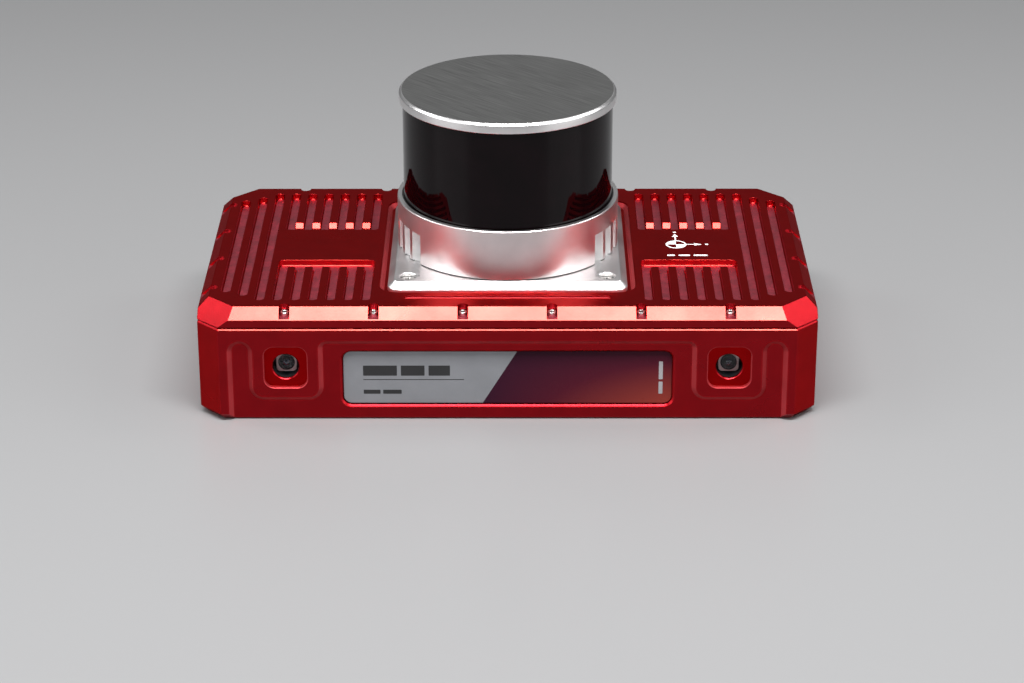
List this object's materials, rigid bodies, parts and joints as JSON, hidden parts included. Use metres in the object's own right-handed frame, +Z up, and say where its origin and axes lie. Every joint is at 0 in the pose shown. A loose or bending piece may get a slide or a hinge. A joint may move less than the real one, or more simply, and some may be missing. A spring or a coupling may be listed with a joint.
{
  "type": "lidar scanner module",
  "caption": "Spinning lidar on a finned red metal housing with a camera at each front corner and a label between them.",
  "frame": {"origin": "centre of the flat underside, on the lidar's spin axis", "axes": "+Z up along the spin axis, +X to the right seen from the front, -Y out of the camera side"},
  "size_m": [0.28, 0.169, 0.1322],
  "materials": {
    "housing": "satin red anodised",
    "silver": "fine bead blasted",
    "machined": "machined",
    "steel": "plain",
    "iron": "lacquered laminations",
    "window": "polished, near opaque",
    "rubber": "matte",
    "black": "matte",
    "board": "solder mask",
    "gold": "plated",
    "copper": "enamelled winding",
    "lens": "clear",
    "label": "printed foil",
    "cage": "natural",
    "magnet": "nickel plated"
  },
  "bodies": {
    "housing": {"lower_housing": "housing", "top_cover": "housing", "cover_gasket": "rubber", "cover_screws": "steel", "label_plate": "label", "vent_plug": "black", "left_camera_window": "lens", "left_camera_body": "silver", "left_lens_barrel": "black", "left_front_lens": "lens", "right_camera_window": "lens", "right_camera_body": "silver", "right_lens_barrel": "black", "right_front_lens": "lens", "camera_seals": "rubber", "camera_boards": "board", "power_connector": "magnet", "data_connector": "magnet", "antenna_connectors": "gold", "connector_cores": "black", "connector_pins": "gold", "connector_nuts": "magnet", "connector_seals": "rubber", "main_board": "board", "board_parts": "black", "board_standoffs": "gold", "board_screws": "steel", "heat_spreader": "machined", "navigation_unit": "machined", "lidar_lead": "rubber", "lidar_base": "silver", "lidar_gasket": "rubber", "lidar_screws": "steel", "lower_window_seal": "rubber", "lidar_window": "window", "upper_window_seal": "rubber", "lidar_cap": "silver", "center_post": "machined", "base_board": "board", "encoder_reader": "black", "stator_core": "iron", "stator_coils": "copper", "bearing_inner_races": "steel", "fixed_power_coil": "copper"},
    "lidar_rotor": {"rotor_frame": "machined", "rotor_magnets": "magnet", "encoder_disc": "lens", "rotor_power_coil": "copper", "optic_housing": "black", "transmit_lens": "lens", "receive_lens": "lens", "transmit_board": "board", "receive_board": "board", "laser_array": "gold", "detector_array": "gold", "balance_weight": "steel", "bearing_outer_races": "steel", "bearing_cages": "cage", "bearing_balls": "steel"}
  },
  "joints": [
    {"name": "rotor_spin", "type": "hinge", "parent": "housing", "child": "lidar_rotor", "pos_m": [0, 0, 0.094], "axis": [0, 0, 1], "continuous": true}
  ]
}
